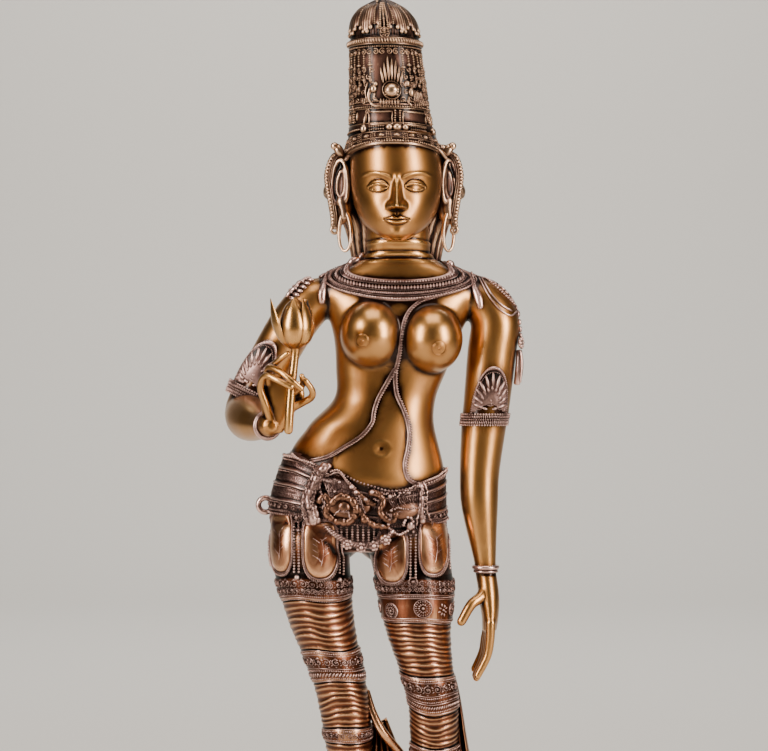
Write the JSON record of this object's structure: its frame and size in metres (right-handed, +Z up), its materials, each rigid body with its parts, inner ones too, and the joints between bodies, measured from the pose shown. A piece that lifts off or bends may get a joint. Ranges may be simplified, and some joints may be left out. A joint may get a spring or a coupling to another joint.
{
  "type": "standing goddess statue",
  "caption": "Cast bronze goddess in a swaying pose with a tall crown, right hand raised with a lotus bud, left arm hanging, on a double-lotus plinth.",
  "frame": {"origin": "centre of the plinth's flat underside", "axes": "+Z up, the figure faces -Y, its raised right hand is on the -X side"},
  "size_m": [0.2773, 0.236, 0.9143],
  "materials": {
    "figure_bronze": "polished golden-brown skin, dark patina in the carved dress and jewellery",
    "plinth_bronze": "dark brown patina, worn bright on the petals' edges"
  },
  "bodies": {
    "root": {"parvati_figure": "figure_bronze", "lotus_plinth": "plinth_bronze"}
  },
  "joints": []
}
